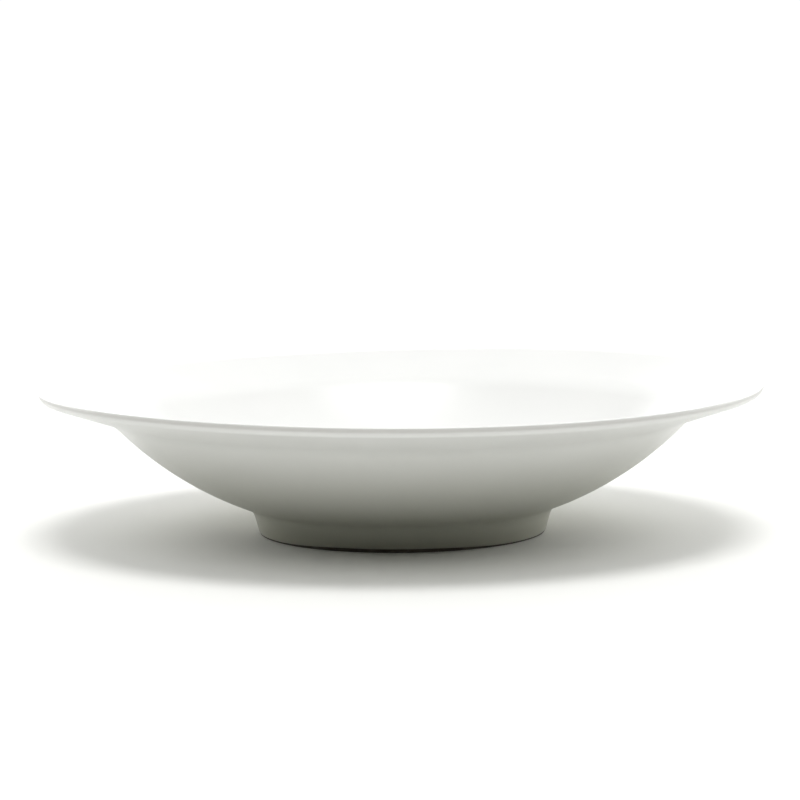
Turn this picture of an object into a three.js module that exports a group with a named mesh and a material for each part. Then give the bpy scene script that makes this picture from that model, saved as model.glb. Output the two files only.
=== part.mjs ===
import * as THREE from 'three';

// A wide, shallow serving bowl of white-glazed stoneware on a low foot ring. Lengths are in millimetres, and
// +Z is up. The origin is on the table, under the middle of the bowl. Every piece is turned from a section of
// (radius, height) points, and neighbours are turned from the same points where they touch.

// Overall sizes, over the glaze
const rimDiameter = 360;
const bowlHeight = 73.5;

// Rim: a flange that flares out from the wall and ends in a lip, crisp above and rounder below
const flangeWidth = 35;
const flangeSlope = THREE.MathUtils.degToRad(18);
const flangeThickness = 3.4;
const lipTopRadius = 0.7;
const lipUnderRadius = 1.9;
const kneeRadius = 22;

// Wall and floor of the clay bowl
const wallThickness = 4.4;
const wallBow = 5.2;
const floorThickness = 4.6;
const wellRadius = 60;

// Foot ring: an upright band of bare clay on the table, and above it a face that leans out to the bowl
const footDiameter = 143;
const footHeight = 12.5;
const footFlare = 3.4;
const footTopWidth = 8.6;
const bareHeight = 1.8;
const standingWidth = 5.6;
const standingEdge = 0.5;

// Slip that lutes the foot to the bowl, and the legs of its fillets
const slipThickness = 0.6;
const slipFillet = 2.2;

// Glaze, which ends at the top of the foot's bare band
const glazeThickness = 0.4;

// Fineness of the turned surfaces
const segments = 56;
const arcSteps = 4;
const filletSteps = 3;
const edgeSteps = 2;

const point = (radius, height) => new THREE.Vector2(radius, height);
const angleFrom = (centre, place) => Math.atan2(place.y - centre.y, place.x - centre.x);
const onCircle = (centre, radius, angle) => point(
  centre.x + radius * Math.cos(angle),
  centre.y + radius * Math.sin(angle),
);

// Where a line leaves a circle, going along the line's direction.
function leaving(start, direction, centre, radius) {
  const toCentre = centre.clone().sub(start);
  const along = toCentre.dot(direction);
  const acrossSquared = toCentre.lengthSq() - along * along;
  const reach = along + Math.sqrt(radius * radius - acrossSquared);
  return start.clone().addScaledVector(direction, reach);
}

// Points of an arc that turns the short way from one angle to the other.
function arc(centre, radius, from, to, steps = arcSteps) {
  return new THREE.ArcCurve(centre.x, centre.y, radius, from, to, from > to).getPoints(steps);
}

// A soft corner from one point to the other, drawn towards the corner between them.
function softCorner(from, corner, to, steps) {
  return new THREE.QuadraticBezierCurve(from, corner, to).getPoints(steps);
}

// Joins runs of points into one line and leaves out the repeats where they meet.
function joined(...runs) {
  const tolerance = 1e-6;
  return runs.flat().filter((place, i, all) => i === 0 || place.distanceTo(all[i - 1]) > tolerance);
}

// A line of points that ends where it starts.
const closed = (line) => [...line, line[0]];

// The line that lies a distance to the right of a line of points.
function beside(line, distance) {
  const sideways = (a, b) => point(b.y - a.y, a.x - b.x).normalize();
  return line.map((place, i) => {
    const before = sideways(line[Math.max(i - 1, 0)], line[Math.max(i, 1)]);
    const after = sideways(line[Math.min(i, line.length - 2)], line[Math.min(i + 1, line.length - 1)]);
    const outwards = before.add(after).normalize();
    return place.clone().addScaledVector(outwards, distance);
  });
}

// Foot ring: the ends of its leaning faces, which are where the glaze ends, and where the slip ends on them
const footOuterRadius = footDiameter / 2;
const footInnerRadius = footOuterRadius - standingWidth;
const glazeOuterEnd = point(footOuterRadius, bareHeight);
const glazeInnerEnd = point(footInnerRadius, bareHeight);
const footOuterTop = point(footOuterRadius + footFlare, footHeight);
const footInnerTop = point(footOuterTop.x - footTopWidth, footHeight);
const slipShare = slipFillet / (footHeight - bareHeight);
const slipOuterEnd = footOuterTop.clone().lerp(glazeOuterEnd, slipShare);
const slipInnerEnd = footInnerTop.clone().lerp(glazeInnerEnd, slipShare);

// Flange: its straight lines run up to the lip, whose upright face lies between a round above and one below
const lipReach = rimDiameter / 2 - glazeThickness;
const lipTopCentre = point(lipReach - lipTopRadius, bowlHeight - glazeThickness - lipTopRadius);
const flangeRun = point(Math.cos(flangeSlope), Math.sin(flangeSlope));
const flangeUp = point(-flangeRun.y, flangeRun.x);
const flangeLine = (rise) => lipTopCentre.clone().addScaledVector(flangeUp, rise);
const underside = lipTopRadius - flangeThickness;
const lipUnderStart = flangeLine(underside + lipUnderRadius);
const lipUnderRun = (lipReach - lipUnderRadius - lipUnderStart.x) / flangeRun.x;
const lipUnderCentre = lipUnderStart.addScaledVector(flangeRun, lipUnderRun);

// Outside of the wall: one arc from the edge of the flat underside to the flange, bowed out from its chord
const baseHeight = footHeight + slipThickness;
const baseEdge = point(footOuterTop.x, baseHeight);
const flangeUnder = flangeLine(underside);
const kneeReach = rimDiameter / 2 - flangeWidth;
const kneeCorner = point(kneeReach, flangeUnder.y - (flangeUnder.x - kneeReach) * Math.tan(flangeSlope));
const chord = kneeCorner.clone().sub(baseEdge);
const outerRadius = (chord.lengthSq() / 4 + wallBow * wallBow) / (2 * wallBow);
const chordUp = point(-chord.y, chord.x).normalize();
const chordMiddle = baseEdge.clone().lerp(kneeCorner, 0.5);
const wallCentre = chordMiddle.addScaledVector(chordUp, outerRadius - wallBow);
const innerRadius = outerRadius - wallThickness;
const slipWallAngle = angleFrom(wallCentre, baseEdge) + slipFillet / outerRadius;
const slipWallEnd = onCircle(wallCentre, outerRadius, slipWallAngle);

// Rounds that are tangent to wall and flange, under the knee and over it, and to wall and floor in the well
const underKneeCentre = leaving(
  flangeLine(underside - kneeRadius),
  flangeRun,
  wallCentre,
  outerRadius + kneeRadius,
);
const overKneeRadius = kneeRadius + flangeThickness;
const overKneeCentre = leaving(
  flangeLine(lipTopRadius - overKneeRadius),
  flangeRun,
  wallCentre,
  innerRadius + overKneeRadius,
);
const floorHeight = baseHeight + floorThickness;
const wellCentre = leaving(
  point(0, floorHeight + wellRadius),
  point(1, 0),
  wallCentre,
  innerRadius - wellRadius,
);

// Skin of the clay bowl, from the outer slip fillet over the lip to the middle of the floor
const underKneeAngle = angleFrom(underKneeCentre, wallCentre);
const overKneeAngle = angleFrom(overKneeCentre, wallCentre);
const wellAngle = angleFrom(wallCentre, wellCentre);
const flangeAngle = flangeSlope + Math.PI / 2;
const bowlSkin = joined(
  arc(wallCentre, outerRadius, slipWallAngle, underKneeAngle - Math.PI),
  arc(underKneeCentre, kneeRadius, underKneeAngle, flangeAngle),
  arc(lipUnderCentre, lipUnderRadius, flangeAngle - Math.PI, 0, edgeSteps),
  arc(lipTopCentre, lipTopRadius, 0, Math.PI / 2, edgeSteps),
  [onCircle(lipTopCentre, lipTopRadius, flangeAngle)],
  arc(overKneeCentre, overKneeRadius, flangeAngle, overKneeAngle),
  arc(wallCentre, innerRadius, overKneeAngle - Math.PI, wellAngle),
  arc(wellCentre, wellRadius, wellAngle, -Math.PI / 2),
  [point(0, floorHeight)],
);

// Slip fillets: outside between foot and wall, inside between the flat underside and the foot
const slipBaseEnd = point(footInnerTop.x - slipFillet, baseHeight);
const outerCorner = footOuterTop.clone().lerp(baseEdge, 0.5);
const innerCorner = point(footInnerTop.x, baseHeight - slipThickness / 2);
const outerFillet = softCorner(slipOuterEnd, outerCorner, slipWallEnd, filletSteps);
const innerFillet = softCorner(slipBaseEnd, innerCorner, slipInnerEnd, filletSteps);

// Sections, each run counter-clockwise
const middleOfBase = point(0, baseHeight);
const bowlSection = joined([middleOfBase, slipBaseEnd, baseEdge], bowlSkin);

const standingOuter = point(footOuterRadius - standingEdge, 0);
const standingInner = point(footInnerRadius + standingEdge, 0);
const bandOuter = point(footOuterRadius, standingEdge);
const bandInner = point(footInnerRadius, standingEdge);
const footSection = closed(joined(
  softCorner(standingOuter, point(footOuterRadius, 0), bandOuter, edgeSteps),
  [glazeOuterEnd, slipOuterEnd, footOuterTop, footInnerTop, slipInnerEnd, glazeInnerEnd],
  softCorner(bandInner, point(footInnerRadius, 0), standingInner, edgeSteps),
));

const slipSection = closed(joined(outerFillet, [baseEdge], innerFillet, [footInnerTop, footOuterTop]));

const glazedOutside = joined([glazeOuterEnd], outerFillet, bowlSkin);
const glazeSection = closed(joined(beside(glazedOutside, glazeThickness), glazedOutside.toReversed()));

const glazedRecess = joined([middleOfBase], innerFillet, [glazeInnerEnd]);
const recessSection = joined(beside(glazedRecess, glazeThickness), glazedRecess.toReversed());

// Turns a section about the upright axis. Each facet is split from its inner or lower ring, whichever way
// the section runs, so pieces that share rings share the same facets and meet without a gap or an overlap.
function turned(name, section, material) {
  const geometry = new THREE.LatheGeometry(section, segments);
  const count = section.length;
  const triangles = [];
  for (let turn = 0; turn < segments; turn += 1) {
    for (let ring = 0; ring < count - 1; ring += 1) {
      const a = turn * count + ring;
      const b = a + count;
      const [here, next] = [section[ring], section[ring + 1]];
      const inwardFirst = here.x < next.x || (here.x === next.x && here.y < next.y);
      const split = inwardFirst ? [a, b, b + 1, a, b + 1, a + 1] : [a, b, a + 1, b + 1, a + 1, b];
      triangles.push(...split);
    }
  }
  geometry.setIndex(triangles);
  const mesh = new THREE.Mesh(geometry, material);
  mesh.name = name;
  return mesh;
}

const bareClay = (color) => new THREE.MeshStandardMaterial({ color, roughness: 0.85, metalness: 0 });
const glassyGlaze = (color) => new THREE.MeshStandardMaterial({ color, roughness: 0.12, metalness: 0 });

const bowl = new THREE.Group();
bowl.add(
  turned('bowl_body', bowlSection, bareClay('#6e675d')),
  turned('foot_ring', footSection, bareClay('#5c554c')),
  turned('luting_slip', slipSection, bareClay('#766f64')),
  turned('glaze_coat', glazeSection, glassyGlaze('#f4f4f0')),
  turned('base_glaze', recessSection, glassyGlaze('#f1f1ec')),
);
bowl.rotation.x = Math.PI / 2;

export default bowl;
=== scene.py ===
import math

import bpy
from mathutils import Euler, Matrix, Vector


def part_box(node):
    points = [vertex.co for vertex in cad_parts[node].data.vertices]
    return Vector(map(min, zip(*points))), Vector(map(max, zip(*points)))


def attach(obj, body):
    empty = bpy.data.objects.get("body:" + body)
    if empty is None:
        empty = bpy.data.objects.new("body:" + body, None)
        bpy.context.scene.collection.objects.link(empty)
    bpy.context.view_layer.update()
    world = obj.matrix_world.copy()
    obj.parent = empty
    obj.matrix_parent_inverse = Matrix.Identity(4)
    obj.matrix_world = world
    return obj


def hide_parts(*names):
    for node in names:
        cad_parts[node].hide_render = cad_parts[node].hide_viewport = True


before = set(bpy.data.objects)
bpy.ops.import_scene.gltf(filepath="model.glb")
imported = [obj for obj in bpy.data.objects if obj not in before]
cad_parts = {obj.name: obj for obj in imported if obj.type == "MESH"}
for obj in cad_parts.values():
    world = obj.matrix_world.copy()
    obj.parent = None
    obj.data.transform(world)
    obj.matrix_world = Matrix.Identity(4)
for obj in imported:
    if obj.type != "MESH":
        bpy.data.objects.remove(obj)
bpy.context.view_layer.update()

# A white-glazed stoneware serving bowl on a foot ring. Lengths are in metres, and +Z is up. The five pieces
# are turned again from the section of the solids, with fine steps, a slightly higher lip that is rounder
# below, wider fillets, a fired bowl's slight warp and rounded ends of the glaze.
MM = 0.001

# How far the lip stands above the solid's
lip_rise = 0.6 * MM

# Sizes read from the solids
clay_low, clay_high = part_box("bowl_body")
foot_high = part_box("foot_ring")[1]
glaze_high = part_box("glaze_coat")[1]
rim_radius = clay_high.x
rim_height = clay_high.z + lip_rise
base_height = clay_low.z
foot_top_radius = foot_high.x
foot_height = foot_high.z
glaze_thickness = glaze_high.x - clay_high.x

# Sizes of the section that no box shows
flange_width = 35 * MM
flange_slope = math.radians(18)
flange_thickness = 3.4 * MM
lip_top_radius = 0.45 * MM
lip_under_radius = 3.5 * MM
knee_radius = 22 * MM
wall_thickness = 4.4 * MM
wall_bow = 5.2 * MM
floor_thickness = 4.6 * MM
well_radius = 60 * MM
foot_flare = 3.4 * MM
foot_top_width = 8.6 * MM
bare_height = 1.8 * MM
standing_width = 5.6 * MM
standing_edge = 0.5 * MM
slip_fillet = 4 * MM
glaze_bead = 0.7 * MM

# Glaze line on the foot: it hangs lower at the sides than at the front and the back
droop_depth = 1 * MM
droop_reach = 4 * MM
droop_turn = math.radians(6)
droop_start = 0.26
droop_full = 0.82

# Fineness of the turned meshes
segments = 256
coarse_step = 2.5 * MM
fine_step = 0.3 * MM
knee_step = 2 * fine_step
lip_step = 0.4 * fine_step
curve_steps = 8

# Distances that count as none, between two points and from the axis
same_place = 0.01 * MM
same_axis = 1e-6 * MM

# Warp of the fired rim: heights of a saddle and a tilt that grow from the foot to the lip
saddle_along = 0.54 * MM
saddle_across = 1.19 * MM
tilt = 0.88 * MM
warp_growth = 1.5


def place(radius, height):
    return Vector((radius, height))


def angle_from(centre, point):
    return math.atan2(point.y - centre.y, point.x - centre.x)


def on_circle(centre, radius, angle):
    return centre + radius * place(math.cos(angle), math.sin(angle))


def leaving(start, direction, centre, radius):
    """Where a line leaves a circle, going along the line's direction."""
    to_centre = centre - start
    along = to_centre.dot(direction)
    across_squared = to_centre.length_squared - along * along
    return start + direction * (along + math.sqrt(radius * radius - across_squared))


def arc(centre, radius, start, end, step):
    """Points of an arc between two angles, about a step apart."""
    count = max(2, math.ceil(radius * abs(end - start) / step))
    return [on_circle(centre, radius, start + (end - start) * i / count) for i in range(count + 1)]


def line(start, end, step):
    """Points of a straight line, about a step apart."""
    count = max(1, math.ceil((end - start).length / step))
    return [start.lerp(end, i / count) for i in range(count + 1)]


def soft_corner(start, corner, end):
    """A curve from start to end that is drawn towards the corner between them."""
    shares = [i / curve_steps for i in range(curve_steps + 1)]
    return [start.lerp(corner, t).lerp(corner.lerp(end, t), t) for t in shares]


def joined(*runs):
    """One line of points from several runs, without the repeats where they meet."""
    points = []
    for point in (p for run in runs for p in run):
        if not points or (point - points[-1]).length > same_place:
            points.append(point)
    return points


def beside(points, distances):
    """The line that lies to the right of a line of points, at each point's own distance."""
    last = len(points) - 1
    moved = []
    for i, (point, distance) in enumerate(zip(points, distances)):
        before = points[max(i, 1)] - points[max(i - 1, 0)]
        after = points[min(i + 1, last)] - points[min(i, last - 1)]
        along = (before.normalized() + after.normalized()).normalized()
        moved.append(point + distance * place(along.y, -along.x))
    return moved


# Foot ring: the ends of its leaning faces, which are where the glaze ends, and where the slip ends on them
foot_outer_radius = foot_top_radius - foot_flare
foot_inner_radius = foot_outer_radius - standing_width
glaze_outer_end = place(foot_outer_radius, bare_height)
glaze_inner_end = place(foot_inner_radius, bare_height)
foot_outer_top = place(foot_top_radius, foot_height)
foot_inner_top = place(foot_top_radius - foot_top_width, foot_height)
slip_share = slip_fillet / (foot_height - bare_height)
slip_outer_end = foot_outer_top.lerp(glaze_outer_end, slip_share)
slip_inner_end = foot_inner_top.lerp(glaze_inner_end, slip_share)

# Flange with its lip, and the arc of the wall under it
flange_run = place(math.cos(flange_slope), math.sin(flange_slope))
flange_up = place(-flange_run.y, flange_run.x)
lip_top_centre = place(rim_radius - lip_top_radius, rim_height - lip_top_radius)
flange_under = lip_top_centre + flange_up * (lip_top_radius - flange_thickness)
lip_under_start = flange_under + flange_up * lip_under_radius
lip_under_run = (rim_radius - lip_under_radius - lip_under_start.x) / flange_run.x
lip_under_centre = lip_under_start + flange_run * lip_under_run
knee_reach = rim_radius + glaze_thickness - flange_width
knee_drop = (flange_under.x - knee_reach) * math.tan(flange_slope)
knee_corner = place(knee_reach, flange_under.y - knee_drop)
base_edge = place(foot_top_radius, base_height)
chord = knee_corner - base_edge
outer_radius = (chord.length_squared / 4 + wall_bow ** 2) / (2 * wall_bow)
inner_radius = outer_radius - wall_thickness
chord_up = place(-chord.y, chord.x).normalized()
wall_centre = base_edge.lerp(knee_corner, 0.5) + chord_up * (outer_radius - wall_bow)

# Rounds that are tangent to the wall: under the knee, over the knee and in the well
under_knee_start = flange_under - flange_up * knee_radius
under_knee_centre = leaving(under_knee_start, flange_run, wall_centre, outer_radius + knee_radius)
over_knee_radius = knee_radius + flange_thickness
over_knee_start = lip_top_centre + flange_up * (lip_top_radius - over_knee_radius)
over_knee_centre = leaving(over_knee_start, flange_run, wall_centre, inner_radius + over_knee_radius)
floor_height = base_height + floor_thickness
well_start = place(0, floor_height + well_radius)
well_centre = leaving(well_start, place(1, 0), wall_centre, inner_radius - well_radius)

# Skin of the clay bowl, from the slip fillet outside over the lip to the middle of the floor
slip_wall_angle = angle_from(wall_centre, base_edge) + slip_fillet / outer_radius
under_knee_angle = angle_from(under_knee_centre, wall_centre)
over_knee_angle = angle_from(over_knee_centre, wall_centre)
well_angle = angle_from(wall_centre, well_centre)
flange_angle = flange_slope + math.pi / 2
wall_outside = arc(wall_centre, outer_radius, slip_wall_angle, under_knee_angle - math.pi, coarse_step)
under_knee = arc(under_knee_centre, knee_radius, under_knee_angle, flange_angle, knee_step)
lip_under = arc(lip_under_centre, lip_under_radius, flange_angle - math.pi, 0, fine_step)
lip_over = arc(lip_top_centre, lip_top_radius, 0, flange_angle, lip_step)
over_knee = arc(over_knee_centre, over_knee_radius, flange_angle, over_knee_angle, knee_step)
wall_inside = arc(wall_centre, inner_radius, over_knee_angle - math.pi, well_angle, coarse_step)
well = arc(well_centre, well_radius, well_angle, -math.pi / 2, coarse_step)
bowl_skin = joined(
    wall_outside,
    under_knee,
    line(under_knee[-1], lip_under[0], coarse_step),
    lip_under,
    line(lip_under[-1], lip_over[0], fine_step),
    lip_over,
    line(lip_over[-1], over_knee[0], coarse_step),
    over_knee,
    wall_inside,
    well,
    line(well[-1], place(0, floor_height), coarse_step),
)

# Slip fillets, outside between foot and wall and inside between foot and underside
middle_of_base = place(0, base_height)
slip_base_end = place(foot_inner_top.x - slip_fillet, base_height)
outer_corner = foot_outer_top.lerp(base_edge, 0.5)
inner_corner = place(foot_inner_top.x, (foot_height + base_height) / 2)
outer_fillet = soft_corner(slip_outer_end, outer_corner, wall_outside[0])
inner_fillet = soft_corner(slip_base_end, inner_corner, slip_inner_end)


def bead_line(glaze_end, away):
    """Points close together at the edge of a glaze, for its rounded bead, and then on to the slip."""
    direction = (away - glaze_end).normalized()
    bead = [glaze_bead * (1 - math.cos(i / curve_steps * math.pi / 2)) for i in range(curve_steps + 1)]
    return joined([glaze_end + direction * reach for reach in bead], [away])


def coat(points, glaze_end):
    """Closed section of a glaze on a line of points, rounded off to nothing at its end on the foot."""
    distances = []
    for point in points:
        short = 1 - min(1, (point - glaze_end).length / glaze_bead)
        distances.append(glaze_thickness * math.sqrt(1 - short * short))
    return joined(beside(points, distances), reversed(points))


glazed_outside = joined(bead_line(glaze_outer_end, slip_outer_end), outer_fillet, bowl_skin)
glazed_recess = joined(
    line(middle_of_base, slip_base_end, coarse_step),
    inner_fillet,
    reversed(bead_line(glaze_inner_end, slip_inner_end)),
)

standing_outer = place(foot_outer_radius - standing_edge, 0)
standing_inner = place(foot_inner_radius + standing_edge, 0)
band_outer = place(foot_outer_radius, standing_edge)
band_inner = place(foot_inner_radius, standing_edge)
sections = {
    "bowl_body": joined(line(middle_of_base, base_edge, coarse_step), bowl_skin),
    "foot_ring": joined(
        line(standing_inner, standing_outer, fine_step),
        soft_corner(standing_outer, place(foot_outer_radius, 0), band_outer),
        line(band_outer, glaze_outer_end, fine_step),
        line(glaze_outer_end, foot_outer_top, coarse_step),
        line(foot_outer_top, foot_inner_top, coarse_step),
        line(foot_inner_top, glaze_inner_end, coarse_step),
        line(glaze_inner_end, band_inner, fine_step),
        soft_corner(band_inner, place(foot_inner_radius, 0), standing_inner),
    ),
    "luting_slip": joined(outer_fillet, [base_edge], inner_fillet, [foot_inner_top, foot_outer_top]),
    "glaze_coat": coat(glazed_outside, glaze_outer_end),
    "base_glaze": coat(glazed_recess, glaze_inner_end),
}


def warp(radius, angle):
    """How far the fired bowl stands above or below its true form at a place."""
    reach = max(0, radius - foot_top_radius) / (rim_radius - foot_top_radius)
    saddle = saddle_along * math.cos(2 * angle) + saddle_across * math.sin(2 * angle)
    return reach ** warp_growth * (saddle + tilt * math.cos(angle))


def droop(height, angle):
    """How far the lower end of the outer glaze hangs down at a place."""
    side = abs(math.cos(angle + droop_turn))
    share = min(1, max(0, (side - droop_start) / (droop_full - droop_start)))
    eased = share * share * (3 - 2 * share)
    end = max(0, 1 - (height - bare_height) / droop_reach)
    return droop_depth * eased * end


def turned(name, section, drooping):
    """A closed mesh turned from a section. A point on the axis becomes one vertex."""
    on_axis = [point.x < same_axis for point in section]
    around = [i / segments * math.tau for i in range(segments)]
    vertices = []
    rings = []
    for point, single in zip(section, on_axis):
        first = len(vertices)
        if single:
            vertices.append((0, 0, point.y))
            rings.append([first] * segments)
            continue
        for angle in around:
            height = point.y + warp(point.x, angle)
            if drooping:
                height -= droop(point.y, angle)
            vertices.append((point.x * math.cos(angle), point.x * math.sin(angle), height))
        rings.append(list(range(first, first + segments)))
    pairs = list(zip(rings, rings[1:]))
    if not any(on_axis):
        pairs.append((rings[-1], rings[0]))
    faces = []
    for low, high in pairs:
        for i in range(segments):
            after = (i + 1) % segments
            corners = [low[i], low[after], high[after], high[i]]
            unique = [c for k, c in enumerate(corners) if c not in corners[:k]]
            if len(unique) > 2:
                faces.append(unique)
    mesh = bpy.data.meshes.new(name)
    mesh.from_pydata(vertices, [], faces)
    mesh.shade_smooth()
    piece = bpy.data.objects.new(name, mesh)
    bpy.context.scene.collection.objects.link(piece)
    return piece


class Shader:
    """A material's node tree, with short calls for the nodes that the finishes share."""

    def __init__(self, name):
        self.material = bpy.data.materials.new(name)
        self.material.use_nodes = True
        self.nodes = self.material.node_tree.nodes
        self.links = self.material.node_tree.links
        self.surface = self.nodes["Principled BSDF"]
        coordinates = self.add("ShaderNodeTexCoord")
        self.where = coordinates.outputs["Object"]
        self.facing = coordinates.outputs["Normal"]

    def add(self, kind, inputs=None, **settings):
        node = self.nodes.new(kind)
        for key, value in settings.items():
            setattr(node, key, value)
        for key, value in (inputs or {}).items():
            self.put(node.inputs[key], value)
        return node

    def put(self, socket, value):
        if isinstance(value, bpy.types.NodeSocket):
            self.links.new(value, socket)
        else:
            socket.default_value = value

    def noise(self, scale, detail=2.0, roughness=0.5):
        inputs = {"Vector": self.where, "Scale": scale, "Detail": detail, "Roughness": roughness}
        return self.add("ShaderNodeTexNoise", inputs).outputs["Fac"]

    def span(self, value, low, high, to_low=0.0, to_high=1.0):
        """A value spread from one range to another, with soft ends."""
        inputs = {"Value": value, "From Min": low, "From Max": high, "To Min": to_low, "To Max": to_high}
        return self.add("ShaderNodeMapRange", inputs, interpolation_type="SMOOTHSTEP").outputs["Result"]

    def math(self, operation, first, second):
        return self.add("ShaderNodeMath", {0: first, 1: second}, operation=operation).outputs["Value"]

    def mix(self, share, first, second):
        """A colour between two others. The node's colours are its inputs 6 and 7 and its output 2."""
        node = self.add("ShaderNodeMix", {"Factor": share}, data_type="RGBA")
        self.put(node.inputs[6], first)
        self.put(node.inputs[7], second)
        return node.outputs[2]

    def radius(self):
        """Distance from the bowl's axis."""
        flat = self.add("ShaderNodeVectorMath", {0: self.where, 1: (1, 1, 0)}, operation="MULTIPLY")
        length = self.add("ShaderNodeVectorMath", {0: flat.outputs["Vector"]}, operation="LENGTH")
        return length.outputs["Value"]

    def upward(self, vector):
        return self.add("ShaderNodeSeparateXYZ", {"Vector": vector}).outputs["Z"]

    def bump(self, height, depth):
        inputs = {"Height": height, "Distance": depth, "Strength": 1}
        return self.add("ShaderNodeBump", inputs).outputs["Normal"]

    def finish(self, color, roughness, normal):
        self.put(self.surface.inputs["Base Color"], color)
        self.put(self.surface.inputs["Roughness"], roughness)
        self.put(self.surface.inputs["Normal"], normal)
        self.surface.inputs["IOR"].default_value = fired_ior
        return self.material


# Surfaces: scales in lumps per metre, ranges of a noise's values, and glosses as ranges of roughness
fired_ior = 1.5
cloud_scale = 16
cloud_range = (0.35, 0.65)
gloss_range = (0.3, 0.7)
glaze_gloss = (0.29, 0.35)
glaze_gloss_scale = 40
ripple_scale = 22
ripple_depth = 0.25 * MM
peel_scale = 700
peel_share = 0.03
patch_scale = 90
patch_range = (0.35, 0.7)
clay_gloss = (0.7, 0.92)
clay_gloss_scale = 300
grain_scale = 2500
grain_depth = 0.05 * MM

# Painted shade on the glaze: a darker lip edge, part thin glaze and part painted shade on the lip's face,
# and painted shade on the outside where faces look down, growing towards the foot
lip_thin_glaze_and_shade_color = (0.5, 0.48, 0.44, 1)
lip_thin_glaze_and_shade_share = 0.38
lip_edge_start = rim_radius + 0.05 * MM
# Colour of the painted shade on faces that look down, its share at the rim, and the normal's tilt where it
# starts
painted_shade_color = (0.39, 0.393, 0.314, 1)
painted_shade_at_rim = 0.06
outside_tilt = -0.1


def glaze_finish(name, white, cool, painted_shade_low):
    """White glaze with a soft gloss, faint clouds and ripples, a lip edge darkened by thin glaze and
    painted shade, and painted shade low down on faces that look down.
    """
    s = Shader(name)
    clouds = s.span(s.noise(cloud_scale, detail=3), *cloud_range)
    color = s.mix(clouds, (*white, 1), (*cool, 1))
    # Lip edge: darker from thin glaze and from painted shade on the lip's face
    edge = s.span(s.radius(), lip_edge_start, rim_radius + glaze_thickness, 0, lip_thin_glaze_and_shade_share)
    color = s.mix(edge, color, lip_thin_glaze_and_shade_color)
    # Painted shade: greyer towards the foot on faces that look down, standing in for the shade under the
    # bowl
    low = s.span(s.upward(s.where), rim_height, 0, painted_shade_at_rim, painted_shade_low)
    outside = s.span(s.upward(s.facing), 0, outside_tilt)
    color = s.mix(s.math("MULTIPLY", low, outside), color, painted_shade_color)
    roughness = s.span(s.noise(glaze_gloss_scale), *gloss_range, *glaze_gloss)
    peel = s.math("MULTIPLY", s.noise(peel_scale, detail=1), peel_share)
    normal = s.bump(s.math("ADD", s.noise(ripple_scale), peel), ripple_depth)
    return s.finish(color, roughness, normal)


def clay_finish(name, pale, dark):
    """Bare fired stoneware: matt, faintly grained, with paler rubbed patches."""
    s = Shader(name)
    patches = s.span(s.noise(patch_scale, detail=4, roughness=0.6), *patch_range)
    color = s.mix(patches, (*pale, 1), (*dark, 1))
    roughness = s.span(s.noise(clay_gloss_scale), *gloss_range, *clay_gloss)
    normal = s.bump(s.noise(grain_scale), grain_depth)
    return s.finish(color, roughness, normal)


# Slot and material of each piece
finishes = {
    "bowl_body": ("clay_body", clay_finish("clay_body", (0.18, 0.16, 0.13), (0.14, 0.12, 0.095))),
    # The foot's bare band is darker than the body clay: part clay tone, part painted shade standing for the
    # contact shadow under the foot
    "foot_ring": ("clay_foot", clay_finish("clay_foot", (0.11, 0.093, 0.074), (0.07, 0.058, 0.046))),
    "luting_slip": ("clay_slip", clay_finish("clay_slip", (0.2, 0.18, 0.145), (0.16, 0.14, 0.115))),
    # Each glaze's last number is its share of painted shade low down on faces that look down
    "glaze_coat": ("glaze", glaze_finish("glaze", (0.858, 0.862, 0.843), (0.844, 0.849, 0.829), 0.91)),
    "base_glaze": (
        "glaze_under",
        glaze_finish("glaze_under", (0.82, 0.818, 0.79), (0.805, 0.806, 0.78), 0.6),
    ),
}
for node, section in sections.items():
    slot, material = finishes[node]
    piece = turned(node + "_fired", section, node == "glaze_coat")
    piece.data.materials.append(material)
    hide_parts(node)
    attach(piece, "root")

# Stage: a pale floor out to the horizon
floor_reach = 60
floor_sides = 64
floor_turns = [i / floor_sides * math.tau for i in range(floor_sides)]
floor_corners = [(math.cos(turn) * floor_reach, math.sin(turn) * floor_reach, 0) for turn in floor_turns]
floor_mesh = bpy.data.meshes.new("floor")
floor_mesh.from_pydata(floor_corners, [], [range(floor_sides)])
floor = bpy.data.objects.new("floor", floor_mesh)
bpy.context.scene.collection.objects.link(floor)
floor_paint = bpy.data.materials.new("floor")
floor_paint.use_nodes = True
floor_surface = floor_paint.node_tree.nodes["Principled BSDF"]
floor_surface.inputs["Base Color"].default_value = (0.822, 0.8245, 0.805, 1)
floor_surface.inputs["Roughness"].default_value = 0.9
floor_surface.inputs["Specular IOR Level"].default_value = 0.1
floor_mesh.materials.append(floor_paint)

# Light: a broad soft lamp overhead, a pale ceiling round it and a lit white sweep behind the bowl
lamp_data = bpy.data.lights.new("overhead", "SUN")
lamp_data.angle = math.radians(26)
lamp_data.energy = 1.5
lamp_forward = math.radians(8)
lamp_right = math.radians(2.5)
lamp = bpy.data.objects.new("overhead", lamp_data)
lamp.rotation_euler = (lamp_forward, lamp_right, 0)
bpy.context.scene.collection.objects.link(lamp)

# World: each edge is where a light starts and where it is full, as cosines of the angle to its direction
ceiling_strength = 1
ceiling_edge = (0.3, 0.8)
sweep_strength = 6.2
sweep_turn = math.radians(5)
sweep_edge = (0, 0.6)
sweep_top = (0.5, 0)
backdrop_strength = 1.05

world = bpy.data.worlds.new("studio")
world.use_nodes = True
bpy.context.scene.world = world
tree = world.node_tree
towards = tree.nodes.new("ShaderNodeTexCoord").outputs["Generated"]


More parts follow.
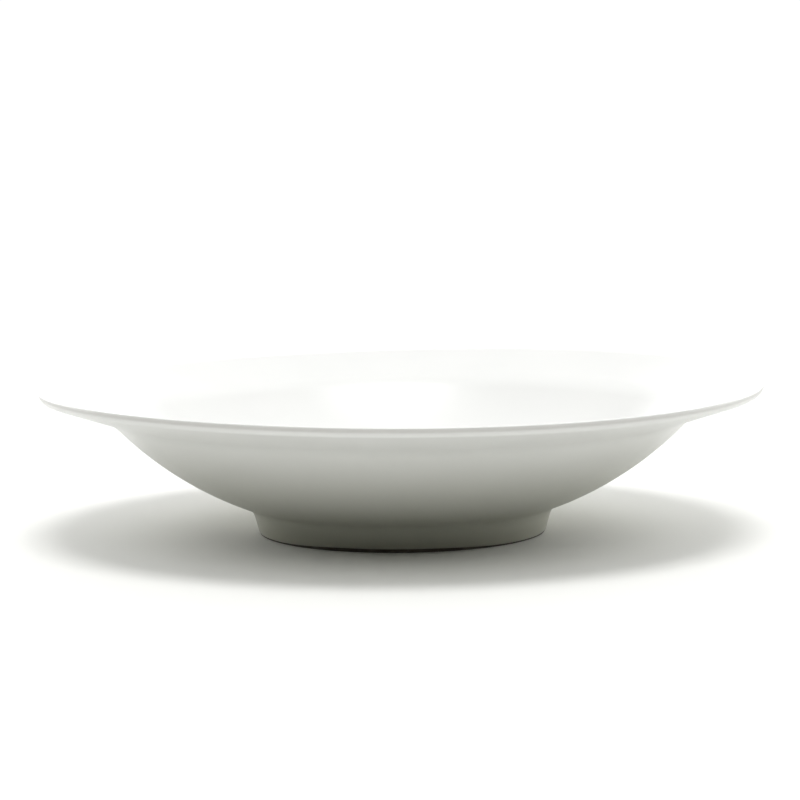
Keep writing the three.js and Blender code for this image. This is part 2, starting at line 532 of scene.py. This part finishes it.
def world_span(direction, low, high, strength=1.0):
    """A strength that grows smoothly from none to all as a ray turns towards a direction."""
    along = tree.nodes.new("ShaderNodeVectorMath")
    along.operation = "DOT_PRODUCT"
    along.inputs[1].default_value = direction
    tree.links.new(towards, along.inputs[0])
    node = tree.nodes.new("ShaderNodeMapRange")
    node.interpolation_type = "SMOOTHSTEP"
    tree.links.new(along.outputs["Value"], node.inputs["Value"])
    node.inputs["From Min"].default_value = low
    node.inputs["From Max"].default_value = high
    node.inputs["To Max"].default_value = strength
    return node.outputs["Result"]


def world_math(operation, first, second):
    node = tree.nodes.new("ShaderNodeMath")
    node.operation = operation
    tree.links.new(first, node.inputs[0])
    tree.links.new(second, node.inputs[1])
    return node.outputs["Value"]


up = (0, 0, 1)
behind = (math.sin(sweep_turn), math.cos(sweep_turn), 0)
ceiling = world_span(up, *ceiling_edge, ceiling_strength)
sweep_breadth = world_span(behind, *sweep_edge, sweep_strength)
sweep = world_math("MULTIPLY", sweep_breadth, world_span(up, *sweep_top))
room = tree.nodes["Background"]
room.inputs["Color"].default_value = (1, 1, 1, 1)
tree.links.new(world_math("ADD", ceiling, sweep), room.inputs["Strength"])
backdrop = tree.nodes.new("ShaderNodeBackground")
backdrop.inputs["Color"].default_value = (1, 1, 1, 1)
backdrop.inputs["Strength"].default_value = backdrop_strength
seen = tree.nodes.new("ShaderNodeLightPath")
either = tree.nodes.new("ShaderNodeMixShader")
tree.links.new(seen.outputs["Is Camera Ray"], either.inputs["Fac"])
tree.links.new(room.outputs["Background"], either.inputs[1])
tree.links.new(backdrop.outputs["Background"], either.inputs[2])
tree.links.new(either.outputs["Shader"], tree.nodes["World Output"].inputs["Surface"])

# Camera: just above the rim, looking slightly down, on a long lens
eye = Vector((0, -1.4678, 0.23113))
pitch = math.radians(6.433)
yaw = math.radians(-0.024)
roll = math.radians(-0.606)
camera_data = bpy.data.cameras.new("camera")
camera_data.sensor_width = 36
camera_data.lens = 132.9
camera_data.clip_end = 200
camera = bpy.data.objects.new("camera", camera_data)
aim = Euler((math.pi / 2 - pitch, 0, -yaw)).to_matrix().to_4x4()
camera.matrix_world = Matrix.Translation(eye) @ aim @ Matrix.Rotation(roll, 4, "Z")
bpy.context.scene.collection.objects.link(camera)
bpy.context.scene.camera = camera
bpy.context.scene.view_settings.view_transform = "Standard"
